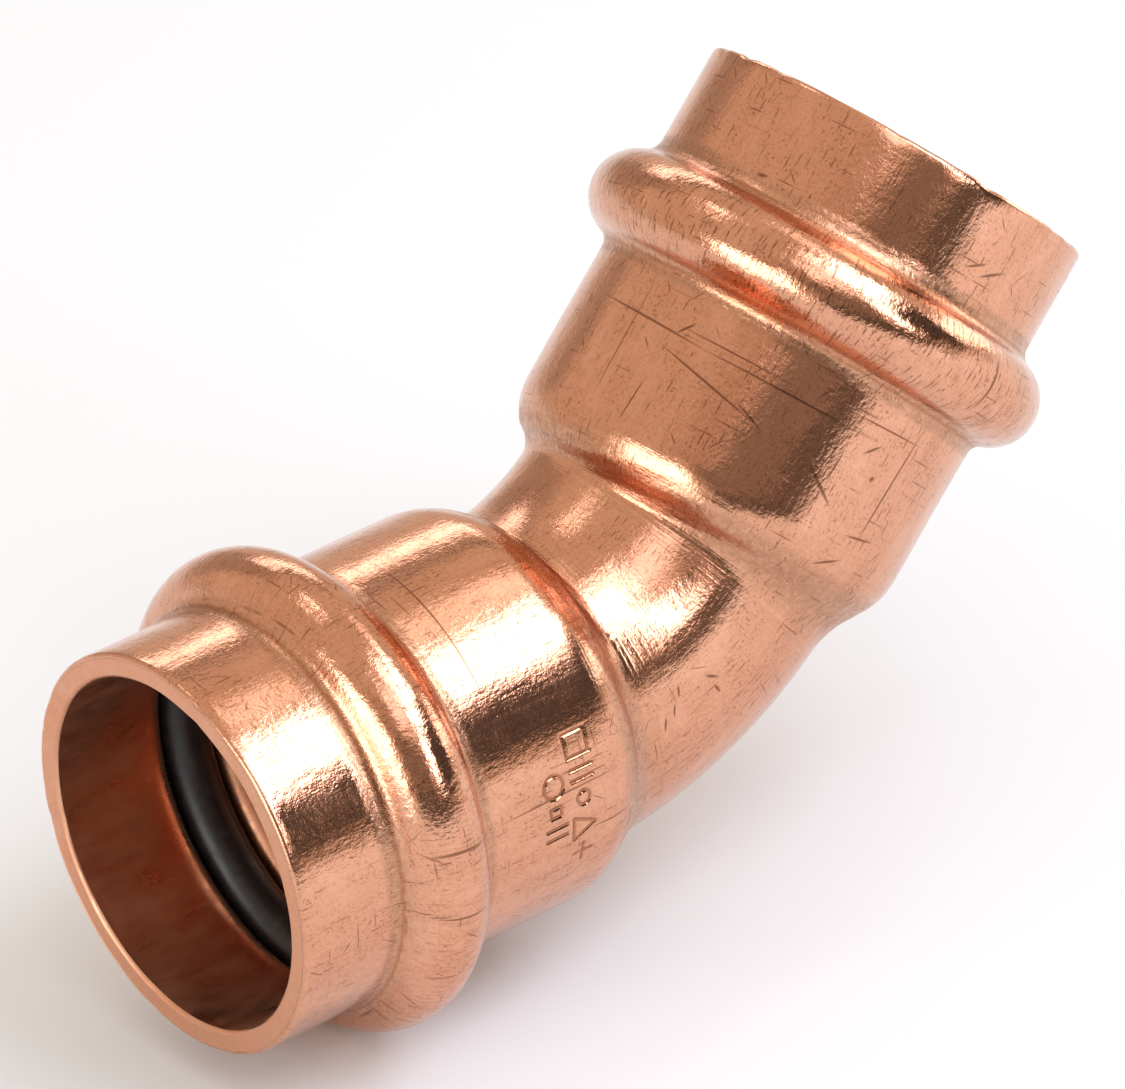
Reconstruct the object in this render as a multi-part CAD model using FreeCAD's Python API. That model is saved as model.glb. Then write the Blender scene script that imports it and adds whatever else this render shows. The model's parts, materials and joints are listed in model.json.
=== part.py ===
import FreeCAD, Part
import math
import os

# 45-degree copper press elbow for 3/4 in nominal copper tube (22.2 mm outside).
# All lengths are in millimetres. +Z is up.
# The inlet axis lies on X with its mouth at the origin and the tube entering
# along +X. The bend turns upwards in the XZ plane.

Vector = FreeCAD.Vector

# --- overall layout ---------------------------------------------------------
BEND_ANGLE = 45.0            # turn between the two socket axes, degrees
LEG = 34.2                   # socket mouth to the crossing of the two axes
BEND_RADIUS = 21.0           # centreline radius of the bend

# --- socket (the same at both ends) -------------------------------------------
BORE_R = 11.2                # sliding bore for the 22.2 mm tube
SOCKET_R = 12.75             # outside of the socket
SOCKET_DEPTH = 22.8          # straight bore, mouth to the start of the tube stop
MOUTH_ROUND = 0.28           # rounding on the outer edge of the mouth
MOUTH_CHAMFER = 0.20         # lead-in on the inner edge of the mouth

# --- bead that houses the O-ring -----------------------------------------------
BEAD_POS = 10.25             # mouth to the middle of the bead
BEAD_R = 15.35               # outside radius over the bead crest
BEAD_ARC = 2.9               # outside arc of the bead section
BEAD_FILLET_FRONT = 1.12     # concave blend towards the mouth
BEAD_FILLET_BACK = 0.90      # concave blend towards the tube stop
GROOVE_ARC = 1.60            # inside arc of the bead section
GROOVE_LIP = 2.00            # convex blend from bore to groove

# --- O-ring ---------------------------------------------------------------------
RING_SECTION_R = 1.50        # section radius of the O-ring
RING_CENTRE_R = 12.50        # radius of the section centre about the socket axis

# --- shoulder between socket and bend: two tangent arcs, inside and out --------------
TUBE_R = 10.65               # outside radius of the bend
TUBE_BORE_R = 9.30           # waterway radius of the bend
SHOULDER_CONVEX_OUT = 4.70
SHOULDER_CONCAVE_OUT = 3.20
SHOULDER_CONVEX_IN = 3.15
SHOULDER_CONCAVE_IN = 4.60

# --- spacing of the cross sections that the bend is lofted through --------------------
SHOULDER_STEP = 0.35
TUBE_STEP = 1.40
CORE_OVERRUN = 2.0           # length the waterway core runs past the bend at each end

AXIS_X = Vector(1, 0, 0)
AXIS_Y = Vector(0, 1, 0)
ORIGIN = Vector(0, 0, 0)
TURN = math.radians(BEND_ANGLE)
BEAD_CENTRE_R = BEAD_R - BEAD_ARC
TANGENT = BEND_RADIUS * math.tan(TURN / 2)
STRAIGHT = LEG - TANGENT
PATH_LENGTH = 2 * STRAIGHT + BEND_RADIUS * TURN
OUTLET_MOUTH = Vector(LEG * (1 + math.cos(TURN)), 0, LEG * math.sin(TURN))
OUTLET_INWARD = Vector(-math.cos(TURN), 0, -math.sin(TURN))


def at(s, r):
    """Point of a socket section: s along the axis from the mouth, r off the axis."""
    return Vector(s, 0, r)


def arc(start, middle, end):
    return Part.Arc(start, middle, end).toShape()


def line(start, end):
    return Part.makeLine(start, end)


def polar(centre_s, centre_r, radius, angle):
    """Point on a section arc; the angle runs from +s towards +r, in radians."""
    return at(centre_s + radius * math.cos(angle), centre_r + radius * math.sin(angle))


def blend_centre(side, wall_r, blend, arc_r):
    """Axial place of a blend that touches the wall line and the bead or groove arc."""
    drop = BEAD_CENTRE_R - (wall_r + blend)
    return BEAD_POS + side * math.sqrt((arc_r + blend) ** 2 - drop ** 2)


def swell_edges(wall_r, front_blend, back_blend, arc_r):
    """Edges from the straight wall up over the bead and down again, and their ends."""
    front_s = blend_centre(-1, wall_r, front_blend, arc_r)
    back_s = blend_centre(1, wall_r, back_blend, arc_r)
    front_a = math.atan2(BEAD_CENTRE_R - wall_r - front_blend, BEAD_POS - front_s)
    back_a = math.atan2(BEAD_CENTRE_R - wall_r - back_blend, BEAD_POS - back_s)
    down = -math.pi / 2
    back_down = back_a - 2 * math.pi if back_a > 0 else back_a
    start = at(front_s, wall_r)
    meet_front = polar(front_s, wall_r + front_blend, front_blend, front_a)
    meet_back = polar(back_s, wall_r + back_blend, back_blend, back_down)
    end = at(back_s, wall_r)
    front_mid = polar(front_s, wall_r + front_blend, front_blend, (front_a + down) / 2)
    back_mid = polar(back_s, wall_r + back_blend, back_blend, (back_down + down) / 2)
    crest = at(BEAD_POS, BEAD_CENTRE_R + arc_r)
    edges = [
        arc(start, front_mid, meet_front),
        arc(meet_front, crest, meet_back),
        arc(meet_back, back_mid, end),
    ]
    return start, edges, end


def make_socket():
    """One socket, mouth at the origin, from the mouth to the start of the shoulder."""
    out_start, out_edges, out_end = swell_edges(
        SOCKET_R, BEAD_FILLET_FRONT, BEAD_FILLET_BACK, BEAD_ARC)
    in_start, in_edges, in_end = swell_edges(BORE_R, GROOVE_LIP, GROOVE_LIP, GROOVE_ARC)
    face_in = at(0, BORE_R + MOUTH_CHAMFER)
    face_out = at(0, SOCKET_R - MOUTH_ROUND)
    round_mid = polar(MOUTH_ROUND, SOCKET_R - MOUTH_ROUND, MOUTH_ROUND, math.radians(135))
    round_end = at(MOUTH_ROUND, SOCKET_R)
    stop_out = at(SOCKET_DEPTH, SOCKET_R)
    stop_in = at(SOCKET_DEPTH, BORE_R)
    lead_end = at(MOUTH_CHAMFER, BORE_R)
    edges = [line(face_in, face_out), arc(face_out, round_mid, round_end)]
    edges += [line(round_end, out_start)] + out_edges + [line(out_end, stop_out)]
    edges += [line(stop_out, stop_in), line(stop_in, in_end)]
    edges += in_edges + [line(in_start, lead_end), line(lead_end, face_in)]
    wire = Part.Wire(Part.__sortEdges__(edges))
    return Part.Face(wire).revolve(ORIGIN, AXIS_X, 360)


def to_outlet(shape):
    """Copy of a socket-end shape, carried from the inlet to the outlet."""
    moved = shape.copy()
    turn = FreeCAD.Rotation(AXIS_X, OUTLET_INWARD)
    moved.Placement = FreeCAD.Placement(OUTLET_MOUTH, turn)
    return moved


def path_frame(s):
    """Place on the centreline at the distance s from the inlet mouth."""
    if s <= STRAIGHT:
        return FreeCAD.Placement(Vector(s, 0, 0), FreeCAD.Rotation(AXIS_Y, 0))
    angle = min((s - STRAIGHT) / BEND_RADIUS, TURN)
    rise = BEND_RADIUS * (1 - math.cos(angle))
    point = Vector(STRAIGHT + BEND_RADIUS * math.sin(angle), 0, rise)
    beyond = max(s - STRAIGHT - BEND_RADIUS * TURN, 0.0)
    point = point + Vector(math.cos(angle), 0, math.sin(angle)).multiply(beyond)
    return FreeCAD.Placement(point, FreeCAD.Rotation(AXIS_Y, -math.degrees(angle)))


def shoulder_length(big, small, convex, concave):
    tilt = math.acos(1 - (big - small) / (convex + concave))
    return (convex + concave) * math.sin(tilt)


def shoulder_radius(into, big, small, convex, concave):
    """Radius at a distance into the shoulder: a convex arc, then a concave one."""
    length = shoulder_length(big, small, convex, concave)
    convex_part = length * convex / (convex + concave)
    if into <= 0:
        return big
    if into >= length:
        return small
    if into <= convex_part:
        return big - convex + math.sqrt(convex ** 2 - into ** 2)
    left = length - into
    return small + concave - math.sqrt(concave ** 2 - left ** 2)


def stations(length):
    """Centreline distances of the cross sections, close together on the shoulders."""
    first = SOCKET_DEPTH
    count = math.ceil(length / SHOULDER_STEP)
    shoulder = [first + length * i / count for i in range(count + 1)]
    middle = PATH_LENGTH - 2 * (first + length)
    count = math.ceil(middle / TUBE_STEP)
    tube = [first + length + middle * i / count for i in range(1, count)]
    far = [PATH_LENGTH - s for s in reversed(shoulder)]
    return shoulder + tube + far


def ring_wire(s, radius):
    circle = Part.makeCircle(radius, ORIGIN, AXIS_X)
    wire = Part.Wire([circle])
    wire.Placement = path_frame(s)
    return wire


def bend_skin(big, small, convex, concave):
    """Solid swept through the bend, wide at both ends and necked in between."""
    length = shoulder_length(big, small, convex, concave)
    wires = []
    for s in stations(length):
        into = min(s, PATH_LENGTH - s) - SOCKET_DEPTH
        wires.append(ring_wire(s, shoulder_radius(into, big, small, convex, concave)))
    return Part.makeLoft(wires, True, False)


def make_bend():
    """The hollow bend with its two shoulders; the core runs on into both sockets."""
    outer = bend_skin(SOCKET_R, TUBE_R, SHOULDER_CONVEX_OUT, SHOULDER_CONCAVE_OUT)
    inner = bend_skin(BORE_R, TUBE_BORE_R, SHOULDER_CONVEX_IN, SHOULDER_CONCAVE_IN)
    start = at(SOCKET_DEPTH - CORE_OVERRUN, 0)
    plug = Part.makeCylinder(BORE_R, CORE_OVERRUN, start, AXIS_X)
    core = inner.fuse([plug, to_outlet(plug)])
    return outer.cut(core)


def make_body():
    socket = make_socket()
    body = make_bend().fuse([socket, to_outlet(socket)])
    body = body.removeSplitter()
    return body.Solids[0]


def make_seal_ring():
    """O-ring lying in the bead of the inlet socket."""
    centre = Vector(BEAD_POS, 0, 0)
    return Part.makeTorus(RING_CENTRE_R, RING_SECTION_R, centre, AXIS_X)


def main():
    os.makedirs("parts", exist_ok=True)
    ring = make_seal_ring()
    nodes = {
        "elbow_body": make_body(),
        "inlet_seal_ring": ring,
        "outlet_seal_ring": to_outlet(ring),
    }
    for name, shape in nodes.items():
        shape.exportStep("parts/" + name + ".step")


main()
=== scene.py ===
import json
import math
import bpy
import bmesh
import numpy as np
from mathutils import Matrix, Vector


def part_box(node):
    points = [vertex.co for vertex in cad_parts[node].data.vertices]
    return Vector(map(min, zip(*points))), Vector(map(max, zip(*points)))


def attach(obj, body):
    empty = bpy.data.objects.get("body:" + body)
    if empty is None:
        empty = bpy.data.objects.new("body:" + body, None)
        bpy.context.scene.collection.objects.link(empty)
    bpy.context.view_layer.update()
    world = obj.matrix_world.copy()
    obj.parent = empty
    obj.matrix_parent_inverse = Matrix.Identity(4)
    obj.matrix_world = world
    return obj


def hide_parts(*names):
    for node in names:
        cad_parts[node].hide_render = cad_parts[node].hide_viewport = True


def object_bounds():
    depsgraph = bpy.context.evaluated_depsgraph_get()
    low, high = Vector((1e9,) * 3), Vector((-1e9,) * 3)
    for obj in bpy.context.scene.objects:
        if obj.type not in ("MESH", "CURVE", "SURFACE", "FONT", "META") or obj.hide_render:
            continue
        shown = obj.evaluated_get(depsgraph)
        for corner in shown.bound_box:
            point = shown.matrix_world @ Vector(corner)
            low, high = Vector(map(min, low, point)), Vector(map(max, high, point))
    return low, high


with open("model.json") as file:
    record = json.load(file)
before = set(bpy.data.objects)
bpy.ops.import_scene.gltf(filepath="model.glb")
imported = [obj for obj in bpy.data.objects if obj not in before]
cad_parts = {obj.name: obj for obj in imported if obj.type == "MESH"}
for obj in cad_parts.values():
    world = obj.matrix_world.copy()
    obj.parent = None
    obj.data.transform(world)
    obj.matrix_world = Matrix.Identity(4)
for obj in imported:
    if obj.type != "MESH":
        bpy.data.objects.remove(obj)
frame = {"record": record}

cad_box = [list(corner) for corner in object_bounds()]

# ---------------------------------------------------------------- sizes, millimetres
MM = 0.001
record = frame["record"]
mounts = {m["name"]: m for m in record["mounts"]}
TURN = math.radians(45)
LEG = mounts["outlet_socket"]["pos_m"][0] / MM / (1 + math.cos(TURN))
BORE = mounts["inlet_socket"]["dims"]["r_mm"]
DEPTH = mounts["inlet_socket"]["dims"]["length_mm"]
BEAD_R = -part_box("elbow_body")[0][2] / MM
ring_lo, ring_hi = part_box("inlet_seal_ring")
RING_POS = (ring_lo[0] + ring_hi[0]) / 2 / MM
RING_OUT = ring_hi[2] / MM
SOCKET, TUBE, TUBE_BORE = 12.75, 10.65, 9.3
BEND = 21.0
STRAIGHT = LEG - BEND * math.tan(TURN / 2)
LENGTH = 2 * STRAIGHT + BEND * TURN
BEAD_POS, BEAD_ARC, GROOVE_ARC = 10.25, 2.9, 1.6
BEAD_C = BEAD_R - BEAD_ARC
CORNER = 0.28           # rounding of the cut edge, outside
CHAMFER = 0.2           # chamfer of the cut edge, in the bore
SEAM = math.radians(126)    # where the unrolled tube begins, away from the camera
AROUND = 224                # faces round the tube
PRESS_DEPTH = 0.09
PRESS_HALF_WIDTH = 0.15


# ---------------------------------------------------------------- profile of the metal
def sweep(cs, cr, radius, a0, a1, n):
    """Points on an arc, the first one left out."""
    a = np.radians(np.linspace(a0, a1, n + 1)[1:])
    return [(cs + radius * math.cos(t), cr + radius * math.sin(t)) for t in a]


def run(s0, r0, s1, r1, n):
    """n points on a straight line, the first one left out."""
    return [(s0 + (s1 - s0) * i / n, r0 + (r1 - r0) * i / n) for i in range(1, n + 1)]


def swell(wall, front, back, arc, n_blend, n_arc):
    """The bead or groove with its two blends to the wall: start s, points, end s."""
    def centre(side, blend):
        return BEAD_POS + side * math.sqrt((arc + blend) ** 2 - (BEAD_C - wall - blend) ** 2)
    fs, bs = centre(-1, front), centre(1, back)
    fa = math.degrees(math.atan2(BEAD_C - wall - front, BEAD_POS - fs))
    ba = math.degrees(math.atan2(BEAD_C - wall - back, BEAD_POS - bs)) % 360
    pts = sweep(fs, wall + front, front, -90, fa, n_blend)
    pts += sweep(BEAD_POS, BEAD_C, arc, fa + 180, ba - 180, n_arc)
    pts += sweep(bs, wall + back, back, ba, 270, n_blend)
    return fs, pts, bs


def shoulder(big, small, convex, concave, n1, n2):
    """The step from the socket down to the tube: points, end s."""
    tilt = math.degrees(math.acos(1 - (big - small) / (convex + concave)))
    length = (convex + concave) * math.sin(math.radians(tilt))
    pts = sweep(DEPTH, big - convex, convex, 90, 90 - tilt, n1)
    pts += sweep(DEPTH + length, small + concave, concave, 270 - tilt, 270, n2)
    return pts, DEPTH + length


def half_profile():
    """The outside and the bore of one half, each from the mouth to mid-bend, as (s, r)."""
    out = [(0.0, SOCKET - CORNER)] + sweep(CORNER, SOCKET - CORNER, CORNER, 180, 90, 5)
    fs, bead, bs = swell(SOCKET, 1.12, 0.9, BEAD_ARC, 6, 40)
    out += run(CORNER, SOCKET, fs, SOCKET, 12) + bead + run(bs, SOCKET, DEPTH, SOCKET, 18)
    neck, s = shoulder(SOCKET, TUBE, 4.7, 3.2, 14, 12)
    out += neck + run(s, TUBE, LENGTH / 2, TUBE, 12)
    inn = [(0.0, BORE + CHAMFER)] + run(0, BORE + CHAMFER, CHAMFER, BORE, 2)
    fs, groove, bs = swell(BORE, 2.0, 2.0, GROOVE_ARC, 7, 12)
    crisp = CHAMFER + 0.07
    inn += run(CHAMFER, BORE, crisp, BORE, 1) + run(crisp, BORE, fs, BORE, 7)
    inn += groove + run(bs, BORE, DEPTH, BORE, 10)
    neck, s = shoulder(BORE, TUBE_BORE, 3.15, 4.6, 7, 7)
    inn += neck + run(s, TUBE_BORE, LENGTH / 2, TUBE_BORE, 6)
    return out, inn


def path(s):
    """Centre and side (towards the inside of the bend) vectors at distance s."""
    b = np.clip((s - STRAIGHT) / BEND, 0, TURN)
    flat, far = np.minimum(s, STRAIGHT), np.maximum(s - STRAIGHT - BEND * TURN, 0)
    x = flat + BEND * np.sin(b) + far * np.cos(b)
    z = BEND * (1 - np.cos(b)) + far * np.sin(b)
    zero = np.zeros_like(x)
    return np.stack([x, zero, z], -1), np.stack([-np.sin(b), zero, np.cos(b)], -1)


def dent(s, a):
    """Departure of the formed metal from the true shape, millimetres."""
    d = 0.012 * np.cos(2 * a + 0.7 + s * 0.05) - 0.025
    d = d + 0.010 * np.sin(3 * a + 0.31 * s) * np.sin(0.43 * s + 1.3)
    d = d + 0.006 * np.sin(5 * a - 0.23 * s + 2.0) + 0.005 * np.sin(0.9 * s + 2 * np.sin(a + 1))
    for at, phase in ((26.0, 0.4), (41.6, 2.1)):
        near = np.exp(-((s - at) / 1.5) ** 2) * np.exp(-((1 - np.cos(a + 0.35)) / 0.45) ** 2)
        d = d + 0.085 * near * np.sin(11 * a + 1.9 * s + phase) * np.sin(2.6 * s + 3 * a + phase)
        d = d - 0.05 * near * (0.6 + 0.4 * np.sin(5 * a + 2.0 * phase))
    return d


def worn_edge(s, a):
    """Nicks in the cut edges: how far the outer corner is pushed in, and the face back."""
    reach = 0.34
    pick = np.random.default_rng(12)
    push, back = np.zeros_like(s + a), np.zeros_like(s + a)
    for end, count, size in ((0.0, 26, 0.05), (LENGTH, 46, 0.10)):
        near = np.clip(1 - np.abs(s - end) / reach, 0, 1)
        for _ in range(count):
            where = pick.uniform(0, 2 * np.pi)
            wide, deep = pick.uniform(0.012, 0.05), pick.uniform(0.2, 1)
            shape = np.exp(-(((a - where + np.pi) % (2 * np.pi) - np.pi) / wide) ** 2)
            push = push + near * shape * deep * size
            back = back + near * shape * deep * size * 0.6
        wave = 0.5 + 0.25 * np.sin(7 * a + 1) + 0.25 * np.sin(17 * a + 2)
        back = back + near * 0.03 * wave
    return push, back * np.where(s < LENGTH / 2, 1.0, -1.0)


def loop_of(cx, cy, r, n):
    """A closed chain of n lines round a circle."""
    turn = [2 * math.pi * k / n for k in range(n + 1)]
    return [(cx + r * math.cos(t), cy + r * math.sin(t)) for t in turn]


# Plain shapes pressed into the wall: each line is a chain of places (x from the inlet
# mouth, y round the tube from the side that faces front and left), millimetres
PRESSED = [
    [(20.2, -3.5), (21.8, -3.5), (21.8, -5.0), (20.2, -5.0), (20.2, -3.5)],
    [(20.2, -5.8), (21.8, -5.8)], [(20.2, -6.5), (21.8, -6.5)], loop_of(21.0, -7.8, 0.48, 10),
    [(20.2, -9.0), (21.8, -9.8), (20.2, -10.6), (20.2, -9.0)],
    [(20.3, -11.8), (21.7, -11.8)], [(21.0, -11.1), (21.0, -12.5)],
    loop_of(18.9, -6.3, 0.74, 12),
    [(18.5, -7.7), (19.3, -7.7), (19.3, -8.3), (18.5, -8.3), (18.5, -7.7)],
    [(18.1, -9.1), (19.7, -9.1)], [(18.1, -9.8), (19.7, -9.8)],
]


def pressed(s, w):
    """1 at the bottom of a pressed line, 0 away from it."""
    best = np.full(np.broadcast(s, w).shape, 9.0)
    for chain in PRESSED:
        for (x0, y0), (x1, y1) in zip(chain, chain[1:]):
            dx, dy = x1 - x0, y1 - y0
            h = np.clip(((s - x0) * dx + (w - y0) * dy) / (dx * dx + dy * dy), 0, 1)
            best = np.minimum(best, np.hypot(s - x0 - h * dx, w - y0 - h * dy))
    x = np.clip(1.25 - best / PRESS_HALF_WIDTH, 0, 1)
    return x ** 2 * (3 - 2 * x)


def grid_mesh(name, pts):
    """pts is [rows, cols, 3] in mm; rows and columns both close up."""
    rows, cols = pts.shape[:2]
    i, j = np.meshgrid(np.arange(rows), np.arange(cols), indexing="ij")
    i2, j2 = (i + 1) % rows, (j + 1) % cols
    quads = np.stack([i * cols + j, i2 * cols + j, i2 * cols + j2, i * cols + j2], -1)
    quads = quads.reshape(-1, 4)
    me = bpy.data.meshes.new(name)
    me.vertices.add(rows * cols)
    me.vertices.foreach_set("co", (pts.reshape(-1, 3) * MM).ravel())
    me.loops.add(quads.size)
    me.loops.foreach_set("vertex_index", quads.ravel())
    me.polygons.add(len(quads))
    me.polygons.foreach_set("loop_start", np.arange(0, quads.size, 4))
    me.polygons.foreach_set("loop_total", np.full(len(quads), 4))
    me.polygons.foreach_set("use_smooth", np.ones(len(quads), bool))
    me.update(calc_edges=True)
    me.validate()
    ob = bpy.data.objects.new(name, me)
    bpy.context.scene.collection.objects.link(ob)
    return ob


def vector_attribute(ob, name, values):
    at = ob.data.attributes.new(name, "FLOAT_VECTOR", "POINT")
    at.data.foreach_set("vector", values.reshape(-1, 3).ravel())


def make_body():
    """The copper skin: outside, far cut face, bore and near cut face as one closed grid."""
    out, inn = half_profile()
    far = [(LENGTH - s, r) for s, r in reversed(out[:-1])]
    far_in = [(LENGTH - s, r) for s, r in inn]
    face = [(0.0, BORE + CHAMFER + 0.06), (0.0, SOCKET - CORNER - 0.06)]
    loop = out + far
    loop += [(LENGTH - s, r) for s, r in reversed(face)]
    loop += far_in + list(reversed(inn[:-1])) + face
    sr = np.array(loop)
    s, r = sr[:, 0][:, None], sr[:, 1][:, None]
    a = SEAM + 2 * np.pi * np.arange(AROUND)[None, :] / AROUND
    n_out = len(out) + len(far)
    inside = np.zeros((len(loop), AROUND))
    inside[n_out:] = 1
    push, back = worn_edge(s, a)
    rr = r + dent(s, a) - push * (r > BORE + 0.9)
    ss = s + back
    c, side = path(ss)
    radial = np.cos(a)[..., None] * side + np.sin(a)[..., None] * np.array([0, 1.0, 0])
    pts = c + rr[..., None] * radial
    ob = grid_mesh("elbow_copper", pts)
    flow = np.stack([ss, rr * np.cos(a), rr * np.sin(a)], -1)
    vector_attribute(ob, "flow", flow)
    place = np.stack([np.broadcast_to(np.minimum(s, LENGTH - s), rr.shape),
                      np.broadcast_to(r, rr.shape), inside], -1)
    vector_attribute(ob, "place", place)
    uv = ob.data.uv_layers.new(name="unroll")
    rows, cols = rr.shape
    i, j = np.meshgrid(np.arange(rows), np.arange(cols), indexing="ij")
    v = sr[:, 0] / LENGTH
    quad_v = np.stack([v[i], v[(i + 1) % rows], v[(i + 1) % rows], v[i]], -1)
    quad_u = np.stack([j, j, j + 1, j + 1], -1) / cols
    uv.data.foreach_set("uv", np.stack([quad_u, quad_v], -1).ravel())
    press_marks(ob)
    return ob


def press_marks(ob):
    """Refine the wall where the marks are and press them in."""
    bm = bmesh.new()
    bm.from_mesh(ob.data)
    flow = bm.verts.layers.float_vector["flow"]
    stamp = bm.verts.layers.float.new("stamp")

    def spot(vert):
        x, cos_part, sin_part = vert[flow]
        turn = (math.atan2(sin_part, cos_part) - SEAM) % (2 * math.pi) - math.pi
        return x, turn * SOCKET, math.hypot(cos_part, sin_part)

    def near(vert):
        x, y, radius = spot(vert)
        return 17.6 < x < 22.5 and -13.0 < y < -3.0 and radius > SOCKET - 0.3
    block = [f for f in bm.faces if all(near(v) for v in f.verts)]
    edges = list({e for f in block for e in f.edges})
    bmesh.ops.subdivide_edges(bm, edges=edges, cuts=6, use_grid_fill=True)
    for vert in bm.verts:
        if not near(vert):
            continue
        x, y, radius = spot(vert)
        depth = float(pressed(x, y))
        if depth:
            vert[stamp] = depth
            c, side = path(np.array(x))
            turn = y / SOCKET + SEAM + math.pi
            radial = math.cos(turn) * side + math.sin(turn) * np.array([0, 1.0, 0])
            pressed_r = SOCKET + float(dent(x, turn)) - PRESS_DEPTH * depth
            vert.co = Vector((c + pressed_r * radial) * MM)
    bm.to_mesh(ob.data)
    bm.free()


def make_ring(name, mount):
    """O-ring with a faint moulding line, seated in the groove behind a mouth."""
    major, minor = 200, 56
    section, sink = 1.61, 0.04
    flash_height, flash_width = 0.018, 4.0
    centre_r = RING_OUT - section + sink
    t = 2 * np.pi * np.arange(minor)[:, None] / minor
    a = 2 * np.pi * np.arange(major)[None, :] / major
    flash = flash_height * np.exp(-((np.degrees(t) - 180) / flash_width) ** 2)
    flash = flash + flash_height * np.exp(-((np.degrees(t)) / flash_width) ** 2)
    rad = section + flash + 0.01 * np.sin(3 * a + 1)
    r = centre_r + rad * np.cos(t)
    x = RING_POS + rad * np.sin(t)
    pts = np.stack([x, r * np.sin(a), r * np.cos(a)], -1)
    axis = Vector(mount["axis"])
    turn = Vector((-1, 0, 0)).rotation_difference(axis)
    ob = grid_mesh(name, pts)
    m = Matrix.Translation(Vector(mount["pos_m"])) @ turn.to_matrix().to_4x4()
    ob.data.transform(m)
    flow = np.stack([rad * np.sin(t), r * np.cos(a), r * np.sin(a)], -1)
    vector_attribute(ob, "flow", flow)
    return ob


# ---------------------------------------------------------------- materials
class Tree:
    """Short names for building a node tree."""

    def __init__(self, mat):
        mat.use_nodes = True
        self.t = mat.node_tree
        self.t.nodes.clear()

    def node(self, kind, **sets):
        n = self.t.nodes.new(kind)
        for k, v in sets.items():
            setattr(n, k, v)
        return n

    def put(self, socket, value):
        if isinstance(value, bpy.types.NodeSocket):
            self.t.links.new(value, socket)
        else:
            socket.default_value = value

    def math(self, op, a, b=0.0, c=0.0):
        n = self.node("ShaderNodeMath", operation=op)
        for i, v in enumerate((a, b, c)):
            self.put(n.inputs[i], v)
        return n.outputs[0]

    def times(self, a, b):
        return self.math("MULTIPLY", a, b)

    def larger(self, a, b):
        return self.math("MAXIMUM", a, b)

    def away_from(self, a, b):
        return self.math("ABSOLUTE", self.math("SUBTRACT", a, b))

    def mapped(self, v, scale, offset=(0, 0, 0)):
        n = self.node("ShaderNodeMapping")
        self.put(n.inputs["Vector"], v)
        n.inputs["Scale"].default_value = scale
        n.inputs["Location"].default_value = offset
        return n.outputs[0]

    def noise(self, v, scale, detail, rough):
        n = self.node("ShaderNodeTexNoise")
        self.put(n.inputs["Vector"], v)
        n.inputs["Scale"].default_value = scale
        n.inputs["Detail"].default_value = detail
        n.inputs["Roughness"].default_value = rough
        return n.outputs["Fac"]

    def ramp(self, v, lo, hi, to_lo=0.0, to_hi=1.0):
        n = self.node("ShaderNodeMapRange", interpolation_type="SMOOTHSTEP", clamp=False)
        for i, x in enumerate((v, lo, hi, to_lo, to_hi)):
            self.put(n.inputs[i], x)
        return n.outputs[0]

    def mix(self, f, a, b):
        n = self.node("ShaderNodeMix", data_type="RGBA")
        self.put(n.inputs[0], f)
        self.put(n.inputs[6], a)
        self.put(n.inputs[7], b)
        return n.outputs[2]

    def attribute(self, name, output="Vector"):
        return self.node("ShaderNodeAttribute", attribute_name=name).outputs[output]

    def split(self, v):
        n = self.node("ShaderNodeSeparateXYZ")
        self.put(n.inputs[0], v)
        return n.outputs

    def bump(self, height, distance):
        n = self.node("ShaderNodeBump")
        n.inputs["Strength"].default_value = 1.0
        n.inputs["Distance"].default_value = distance
        self.put(n.inputs["Height"], height)
        return n.outputs[0]


def unrolled(t):
    """Millimetres on the unrolled tube: x from the inlet mouth, y round it, and 1."""
    uv = t.node("ShaderNodeUVMap", uv_map="unroll").outputs[0]
    n = t.node("ShaderNodeVectorRotate", rotation_type="Z_AXIS")
    t.put(n.inputs["Vector"], uv)
    n.inputs["Angle"].default_value = -math.pi / 2
    return t.mapped(n.outputs[0], (LENGTH, -2 * math.pi * SOCKET, 1), (0, -math.pi * SOCKET, 1))


def flecks(t, mm, cell, seed, half, width, share):
    """Short straight marks, one in some of the cells, all along the tube: 1 on the mark."""
    p = t.mapped(mm, (1 / cell[0], 1 / cell[1], 1), (seed, seed * 0.7, 0))
    v = t.node("ShaderNodeTexVoronoi", voronoi_dimensions="2D")
    t.put(v.inputs["Vector"], p)
    v.inputs["Scale"].default_value = 1.0
    off = t.node("ShaderNodeVectorMath", operation="SUBTRACT")
    t.put(off.inputs[0], p)
    t.put(off.inputs[1], v.outputs["Position"])
    size = t.node("ShaderNodeVectorMath", operation="MULTIPLY")
    t.put(size.inputs[0], off.outputs[0])
    size.inputs[1].default_value = (cell[0] / half, cell[1] / width, 0)
    reach = t.node("ShaderNodeVectorMath", operation="LENGTH")
    t.put(reach.inputs[0], size.outputs[0])
    chance = t.node("ShaderNodeSeparateColor")
    t.put(chance.inputs[0], v.outputs["Color"])
    fade = t.ramp(chance.outputs[1], share * 0.4, share, 1, 0)
    return t.math("MULTIPLY", t.ramp(reach.outputs["Value"], 0.3, 1.0, 1, 0), fade)


def turned(t, mm, degrees):
    """The same plane turned, so that flecks run in another direction."""
    n = t.node("ShaderNodeVectorRotate", rotation_type="Z_AXIS")
    t.put(n.inputs["Vector"], mm)
    n.inputs["Angle"].default_value = math.radians(degrees)
    return n.outputs[0]


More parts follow.
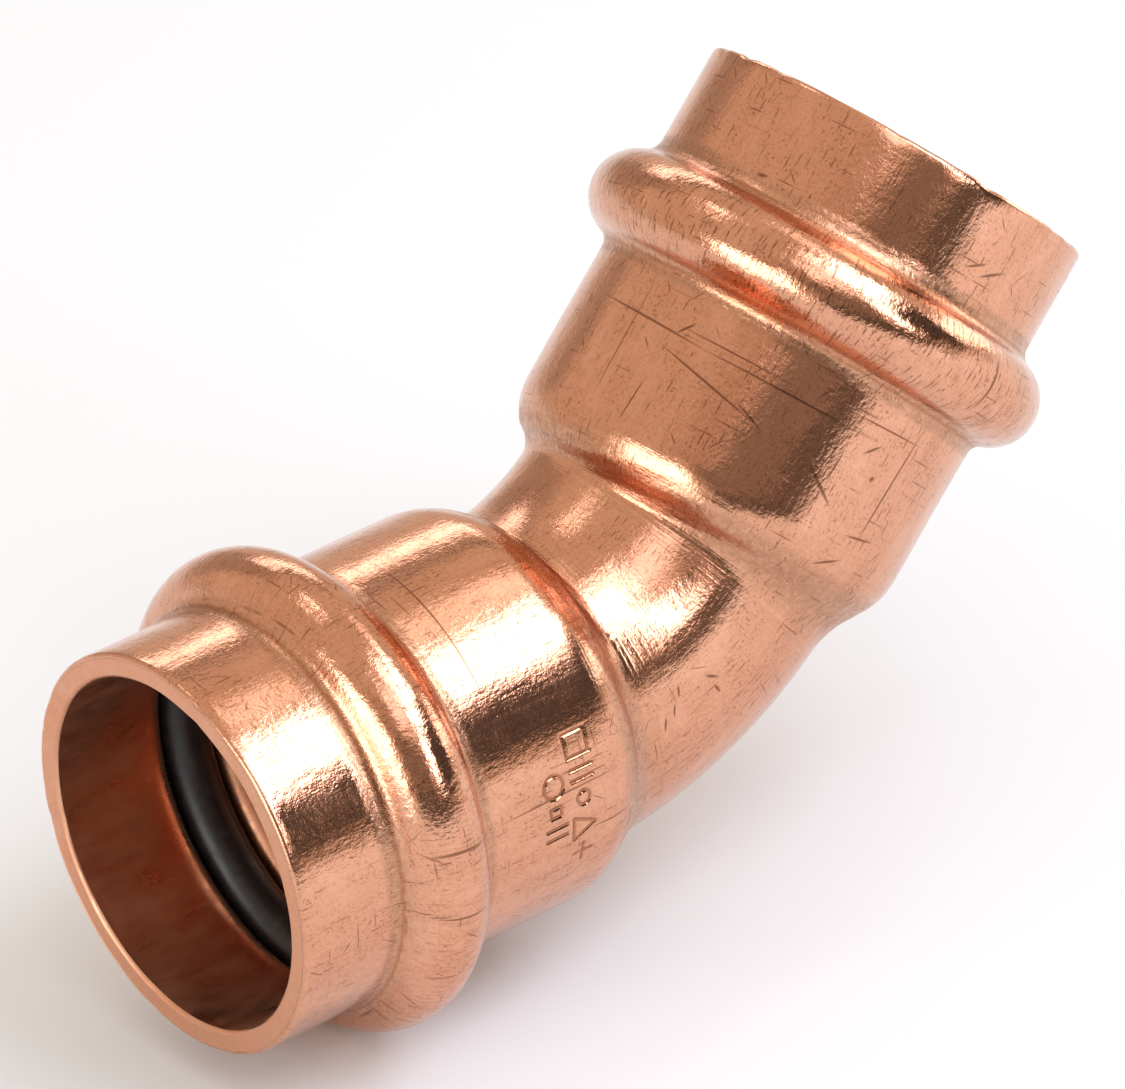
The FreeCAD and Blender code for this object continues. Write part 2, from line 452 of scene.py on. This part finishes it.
def scratches(t, mm, table):
    """Straight scratches between two places on the unrolled tube, each a very thin ellipse."""
    nearest = 9.0
    for x0, y0, x1, y1, width in table:
        cx, cy = (x0 + x1) / 2, (y0 + y1) / 2
        half = math.hypot(x1 - x0, y1 - y0) / 2
        ux, uy = (x1 - x0) / 2 / half, (y1 - y0) / 2 / half
        parts = []
        for ax, ay, size in ((ux, uy, half), (-uy, ux, width)):
            dot = t.node("ShaderNodeVectorMath", operation="DOT_PRODUCT")
            t.put(dot.inputs[0], mm)
            away = -(ax * cx + ay * cy)
            dot.inputs[1].default_value = (ax / size, ay / size, away / size)
            parts.append(dot.outputs["Value"])
        square = t.math("MULTIPLY", parts[0], parts[0])
        square = t.math("MULTIPLY_ADD", parts[1], parts[1], square)
        nearest = t.math("MINIMUM", square, nearest)
    return t.ramp(nearest, 0.1, 1.0, 1, 0)


# x from the inlet mouth, y round the tube from the side that faces front and left, width
SCRATCHES = [
    (7.6, -5.9, 12.5, -6.2, 0.12), (13.6, -7.0, 24.9, -6.9, 0.075), (16.2, -2.0, 16.7, 14.0, 0.09),
    (21.2, -10.2, 25.3, -10.3, 0.08), (44.0, -8.1, 54.4, -8.5, 0.10),
    (54.9, -8.7, 59.7, -8.8, 0.11), (42.8, -6.0, 44.0, -7.9, 0.12),
    (46.1, -5.2, 48.1, -1.9, 0.16), (47.3, -3.8, 49.7, -3.9, 0.10),
    (51.0, -6.3, 50.6, 8.0, 0.10), (50.6, 5.6, 50.9, 16.6, 0.10), (49.9, -5.0, 51.1, -6.2, 0.12),
    (48.1, 1.0, 49.9, 10.2, 0.10), (48.0, 1.0, 49.0, 3.7, 0.10), (52.2, -9.6, 51.8, -2.4, 0.08),
    (62.5, -5.9, 63.7, -7.9, 0.13), (62.6, -4.7, 63.6, -6.3, 0.12), (44.2, 9.3, 47.8, 9.1, 0.07),
    (50.6, 8.9, 51.9, 7.8, 0.12), (44.2, 11.9, 53.9, 12.1, 0.06), (51.4, -0.2, 51.2, 9.6, 0.07),
    (29.0, -8.1, 29.4, -6.8, 0.12), (29.9, -7.5, 30.3, -6.3, 0.11), (30.7, -6.3, 31.1, -5.2, 0.12),
    (33.0, -6.2, 33.9, -7.2, 0.15), (33.3, -7.3, 33.5, -8.5, 0.13), (7.9, -9.6, 12.0, -9.9, 0.08),
    (48.8, -6.5, 49.2, -6.8, 0.20), (45.8, -9.7, 45.3, -6.8, 0.11), (61.3, 9.5, 61.5, 8.6, 0.16),
]


# Colours of the copper; some of them also carry painted shade or painted light, as marked below
CLEAN, CLEAN_DULL = (0.79, 0.405, 0.260, 1), (0.745, 0.37, 0.230, 1)
TARNISH, MOTTLED, STREAKED = (0.65, 0.30, 0.17, 1), (0.58, 0.26, 0.15, 1), (0.62, 0.29, 0.17, 1)
# The second colour on the next line darkens the creases: partly tarnish, partly painted shade
TURNED, CREASE_TARNISH_AND_SHADE, GRAINED = (0.60, 0.30, 0.17, 1), (0.54, 0.282, 0.17, 1), (0.50, 0.225, 0.125, 1)
# The first colour on the next line paints shade along the feet of the beads
BEAD_FOOT_SHADE, WORN, STAMPED = (0.42, 0.16, 0.07, 1), (0.20, 0.08, 0.045, 1), (0.34, 0.13, 0.065, 1)
CUT_EDGE = (0.66, 0.33, 0.20, 1)
# The next line is the bore's paler, duller tone, which also paints light falling into the mouth
LINING_AND_MOUTH_LIGHT, LINING_DULL_AND_MOUTH_LIGHT = (0.79, 0.48, 0.32, 1), (0.71, 0.39, 0.24, 1)


def copper_material():
    mat = bpy.data.materials.new("drawn_copper")
    t = Tree(mat)
    flow = t.attribute("flow")
    depth, radius, inside = t.split(t.attribute("place"))
    blotch = t.noise(flow, 1.1, 2.0, 0.6)
    along = t.split(flow)[0]
    mm = unrolled(t)

    # parts of the body: 1 on the part, 0 elsewhere
    outside = t.math("SUBTRACT", 1.0, inside)
    bead = t.times(t.ramp(radius, 13.2, 14.2), outside)
    neck = t.times(t.ramp(depth, 22.6, 24.5), t.ramp(depth, 28.0, 31.0, 1, 0))
    bead_crease = t.ramp(t.away_from(t.away_from(depth, 10.2), 3.4), 0.3, 0.9, 1, 0)
    bead_crease = t.times(bead_crease, outside)
    waist = t.times(t.ramp(depth, 24.2, 25.2), t.ramp(depth, 26.6, 28.2, 1, 0))
    crease = t.times(t.larger(bead_crease, waist), outside)
    # Painted shade: a thin wavering dark line where each bead's concave foot meets the wall
    bead_foot_shade = t.math("SUBTRACT", t.away_from(depth, BEAD_POS), 3.15)
    bead_foot_shade = t.math("MULTIPLY_ADD", blotch, 0.25, t.math("SUBTRACT", bead_foot_shade, 0.12))
    bead_foot_shade = t.ramp(t.math("ABSOLUTE", bead_foot_shade), 0.04, 0.16, 1, 0)
    outlet_half = t.ramp(along, 28.0, 40.0, 0.4, 1)

    # noises: three even ones, one drawn out along the tube and one turned round it
    patch = t.noise(t.mapped(flow, (0.5, 1, 1), (9, 3, 1)), 0.5, 4.0, 0.62)
    mottle = t.noise(flow, 2.2, 3.0, 0.65)
    grain = t.noise(t.mapped(flow, (0.7, 1, 1)), 6.5, 2.0, 0.7)
    streak = t.noise(t.mapped(flow, (0.05, 1, 1), (3, 1, 7)), 3.6, 3.0, 0.7)
    ring = t.noise(t.mapped(flow, (1, 0.03, 0.03), (5, 2, 7)), 3.4, 2.0, 0.65)

    stamp = t.attribute("stamp", "Fac")
    rim = t.ramp(depth, 0.03, 0.2, 1, 0)

    # wear: fissures on the beads, flecks in four directions, specks, and the long scratches
    across, slant, skew = turned(t, mm, 88), turned(t, mm, 35), turned(t, mm, -48)
    worn = t.times(flecks(t, mm, (0.9, 0.40), 5.3, 0.75, 0.07, 0.9), bead)
    worn = t.times(worn, t.times(t.ramp(mottle, 0.36, 0.58), outlet_half))
    fine = t.larger(flecks(t, slant, (3.7, 2.9), 8.7, 0.9, 0.07, 0.22),
                    flecks(t, skew, (3.3, 2.3), 2.9, 0.6, 0.08, 0.2))
    worn = t.larger(worn, t.times(fine, 0.85))
    fine = t.larger(flecks(t, mm, (1.3, 0.62), 1.9, 0.75, 0.075, 0.62),
                    flecks(t, across, (2.9, 1.1), 4.1, 1.5, 0.07, 0.5))
    worn = t.larger(worn, t.times(fine, t.ramp(patch, 0.44, 0.58, 0.15, 0.85)))
    specks = t.ramp(grain, 0.57, 0.70)
    worn = t.larger(worn, t.times(specks, t.ramp(patch, 0.42, 0.58, 0.15, 0.9)))
    worn = t.larger(worn, scratches(t, mm, SCRATCHES))
    worn = t.times(worn, outside)

    base = t.mix(t.ramp(patch, 0.36, 0.5), CLEAN, CLEAN_DULL)
    base = t.mix(t.ramp(patch, 0.5, 0.7, 0, 0.4), base, TARNISH)
    base = t.mix(t.ramp(mottle, 0.5, 0.72, 0, 0.35), base, MOTTLED)
    base = t.mix(t.ramp(streak, 0.5, 0.75, 0, 0.25), base, STREAKED)
    base = t.mix(t.times(neck, t.ramp(ring, 0.4, 0.62, 0, 0.5)), base, TURNED)
    # Tarnish and painted shade: the bead creases and the waist are darkened in mottled patches
    base = t.mix(t.times(crease, t.ramp(mottle, 0.38, 0.56, 0.45, 1.0)), base, CREASE_TARNISH_AND_SHADE)
    base = t.mix(t.ramp(grain, 0.42, 0.68, 0, 0.28), base, GRAINED)
    # Painted shade along the bead feet
    base = t.mix(t.times(t.times(bead_foot_shade, outside), 0.6), base, BEAD_FOOT_SHADE)
    base = t.mix(t.times(worn, 0.85), base, WORN)
    base = t.mix(t.times(stamp, 0.8), base, STAMPED)
    base = t.mix(t.times(rim, 0.5), base, CUT_EDGE)
    # The bore's own tone plus painted light: paler near the mouth, fading out deeper in the bore
    bore_tone_and_mouth_light = t.mix(t.ramp(patch, 0.4, 0.62), LINING_AND_MOUTH_LIGHT, LINING_DULL_AND_MOUTH_LIGHT)
    front = t.times(t.ramp(rim, 0, 1, 0.85, 0), t.ramp(depth, 7.5, 9.5, 1, 0.1))
    base = t.mix(t.times(inside, front), base, bore_tone_and_mouth_light)

    rough = t.ramp(patch, 0.3, 0.75, 0.085, 0.155)
    rough = t.math("ADD", rough, t.ramp(streak, 0.45, 0.8, 0.0, 0.06))
    rough = t.math("MULTIPLY_ADD", worn, 0.06, rough)
    rough = t.math("MULTIPLY_ADD", inside, t.ramp(patch, 0.35, 0.65, 0.17, 0.27), rough)
    rough = t.math("MULTIPLY_ADD", rim, 0.10, rough)
    rough = t.math("MULTIPLY_ADD", bead, -0.03, rough)
    rough = t.math("MULTIPLY_ADD", neck, t.ramp(mottle, 0.35, 0.65, 0.0, 0.08), rough)
    rough = t.math("MULTIPLY_ADD", crease, t.ramp(mottle, 0.35, 0.65, 0.08, 0.2), rough)

    height = t.times(grain, 0.85)
    height = t.math("MULTIPLY_ADD", streak, 0.8, height)
    uneven = t.math("MULTIPLY_ADD", bead, 1.3, t.math("MULTIPLY_ADD", crease, 4.2, 1.6))
    height = t.math("MULTIPLY_ADD", mottle, uneven, height)
    height = t.math("MULTIPLY_ADD", ring, t.math("MULTIPLY_ADD", neck, 2.0, 0.4), height)
    height = t.math("MULTIPLY_ADD", patch, 5.0, height)
    height = t.times(height, t.ramp(inside, 0, 1, 1, 0.22))
    normal = t.bump(height, 0.010 * MM)

    bsdf = t.node("ShaderNodeBsdfPrincipled")
    bsdf.inputs["Metallic"].default_value = 1.0
    t.put(bsdf.inputs["Base Color"], base)
    t.put(bsdf.inputs["Roughness"], rough)
    t.put(bsdf.inputs["Normal"], normal)
    out = t.node("ShaderNodeOutputMaterial")
    t.put(out.inputs["Surface"], bsdf.outputs[0])
    return mat


def rubber_material():
    mat = bpy.data.materials.new("seal_rubber")
    t = Tree(mat)
    flow = t.attribute("flow")
    dust = t.noise(flow, 1.1, 4.0, 0.65)
    pore = t.noise(flow, 11.0, 3.0, 0.6)
    base = t.mix(t.ramp(dust, 0.45, 0.8), (0.012, 0.012, 0.013, 1), (0.03, 0.029, 0.028, 1))
    rough = t.ramp(dust, 0.3, 0.8, 0.32, 0.5)
    bsdf = t.node("ShaderNodeBsdfPrincipled")
    t.put(bsdf.inputs["Base Color"], base)
    t.put(bsdf.inputs["Roughness"], rough)
    t.put(bsdf.inputs["Normal"], t.bump(pore, 0.01 * MM))
    out = t.node("ShaderNodeOutputMaterial")
    t.put(out.inputs["Surface"], bsdf.outputs[0])
    return mat


# ---------------------------------------------------------------- object
body = make_body()
body.data.materials.append(copper_material())
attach(body, "root")
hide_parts("elbow_body")
rubber = rubber_material()
for label in ("inlet", "outlet"):
    ring = make_ring(label + "_o_ring", mounts[label + "_socket"])
    ring.data.materials.append(rubber)
    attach(ring, "root")
    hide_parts(label + "_seal_ring")


# ---------------------------------------------------------------- stage
def matt_material(name, color):
    mat = bpy.data.materials.new(name)
    t = Tree(mat)
    bsdf = t.node("ShaderNodeBsdfPrincipled")
    bsdf.inputs["Base Color"].default_value = (*color, 1)
    bsdf.inputs["Roughness"].default_value = 1.0
    bsdf.inputs["Specular IOR Level"].default_value = 0.0
    out = t.node("ShaderNodeOutputMaterial")
    t.put(out.inputs["Surface"], bsdf.outputs[0])
    return mat


def glow_material(name, color):
    mat = bpy.data.materials.new(name)
    t = Tree(mat)
    glow = t.node("ShaderNodeEmission")
    glow.inputs["Color"].default_value = (*color, 1)
    t.put(t.node("ShaderNodeOutputMaterial").inputs["Surface"], glow.outputs[0])
    return mat


def direction(az, el):
    """Unit vector at an azimuth and an elevation in degrees."""
    a, e = math.radians(az), math.radians(el)
    return Vector((math.cos(a) * math.cos(e), math.sin(a) * math.cos(e), math.sin(e)))


MIDDLE = (Vector(cad_box[0]) + Vector(cad_box[1])) / 2


def facing(az, el, distance, tilt=0.0):
    """Placed that way and far from the object's middle, looking back at it."""
    d = direction(az, el)
    q = d.to_track_quat("Z", "Y") @ Matrix.Rotation(math.radians(tilt), 3, "Z").to_quaternion()
    return Matrix.Translation(MIDDLE + d * distance) @ q.to_matrix().to_4x4()


NEUTRAL, COOL = (0.97, 0.98, 1.03), (0.93, 0.97, 1.14)


def softbox(name, az, el, distance, width, height, brightness, tilt=0.0, tint=NEUTRAL):
    """A rectangular studio light, equally bright per area whatever its size."""
    light = bpy.data.lights.new(name, "AREA")
    light.shape = "RECTANGLE"
    light.size, light.size_y = width, height
    light.energy = brightness * math.pi * width * height
    light.color = tint
    ob = bpy.data.objects.new(name, light)
    ob.matrix_world = facing(az, el, distance, tilt)
    ob.visible_camera = False
    bpy.context.scene.collection.objects.link(ob)


def card(name, az, el, distance, width, height, shade):
    """A plain card of one shade for the metal to reflect."""
    me = bpy.data.meshes.new(name)
    w, h = width / 2, height / 2
    me.from_pydata([(-w, -h, 0), (w, -h, 0), (w, h, 0), (-w, h, 0)], [], [(0, 1, 2, 3)])
    me.materials.append(glow_material(name, shade))
    ob = bpy.data.objects.new(name, me)
    ob.matrix_world = facing(az, el, distance)
    ob.visible_camera = False
    ob.visible_shadow = False
    ob.visible_diffuse = False
    bpy.context.scene.collection.objects.link(ob)


floor_me = bpy.data.meshes.new("floor")
floor_z = cad_box[0][2]
half_floor = 3
floor_corners = [(x * half_floor, y * half_floor, floor_z)
                 for x, y in ((-1, -1), (1, -1), (1, 1), (-1, 1))]
floor_me.from_pydata(floor_corners, [], [(0, 1, 2, 3)])
floor_me.materials.append(matt_material("floor", (0.77, 0.825, 0.852)))
floor = bpy.data.objects.new("floor", floor_me)
bpy.context.scene.collection.objects.link(floor)

world = bpy.data.worlds.new("studio")
bpy.context.scene.world = world
world.use_nodes = True
wt = Tree(world)
bg = wt.node("ShaderNodeBackground")
bg.inputs["Color"].default_value = (0.776, 0.651, 0.54, 1)
bg.inputs["Strength"].default_value = 1.0
wt.put(wt.node("ShaderNodeOutputWorld").inputs["Surface"], bg.outputs[0])

# azimuth, elevation, distance, width, height, then brightness or shade
softbox("key", -50, 48, 0.55, 0.40, 0.23, 4.8, tilt=6, tint=COOL)
softbox("key_fade", 0, 58, 0.56, 0.16, 0.14, 1.05)
softbox("key_left", -108, 51, 0.57, 0.26, 0.20, 1.35, tint=COOL)
softbox("key_high", -70, 64, 0.56, 0.20, 0.14, 2.5, tint=COOL)
softbox("key_corner", -79, 26, 0.50, 0.10, 0.19, 4.8, tint=COOL)
softbox("left", -172, 11, 0.55, 0.38, 0.28, 3.8)
softbox("right", -4, 7, 0.55, 0.66, 0.13, 2.4, tilt=-20)
softbox("back_right", 60, 30, 0.55, 0.30, 0.10, 2.4, tilt=14)
softbox("back_top", 103, 69, 0.55, 0.09, 0.08, 3.0)
softbox("back_top_small", 135, 62, 0.55, 0.06, 0.05, 2.6)
card("room_left", -103, 4.5, 0.60, 0.92, 0.18, (0.15, 0.13, 0.115))
card("room_left_high", -118, 24, 0.60, 0.52, 0.21, (0.30, 0.25, 0.215))
card("room_right", -47, 18, 0.60, 0.42, 0.31, (0.10, 0.092, 0.086))
card("ceiling_flag", -144, 39, 0.60, 0.33, 0.15, (0.62, 0.485, 0.385))
card("back_flag", 50, 42, 0.60, 0.26, 0.045, (0.14, 0.12, 0.11))
card("back_wall", 84, 25, 0.62, 0.40, 0.50, (0.50, 0.41, 0.34))

# ---------------------------------------------------------------- camera
cam_data = bpy.data.cameras.new("camera")
cam_data.sensor_width = 36
cam_data.lens = 291.83
cam_data.shift_x, cam_data.shift_y = 0.0038, 0.0125
cam_data.clip_start, cam_data.clip_end = 0.01, 20
cam = bpy.data.objects.new("camera", cam_data)
back = direction(-127.418, 29.776)
level = Vector((0, 0, 1)).cross(back).normalized()
q = Matrix((level, back.cross(level), back)).transposed()
q = Matrix.Rotation(math.radians(-4.427), 3, back) @ q
cam.matrix_world = Matrix.Translation(Vector((-257.85, -376.46, 278.68)) * MM) @ q.to_4x4()
bpy.context.scene.collection.objects.link(cam)
bpy.context.scene.camera = cam

bpy.context.scene.view_settings.view_transform = "Standard"
bpy.context.scene.view_settings.look = "None"
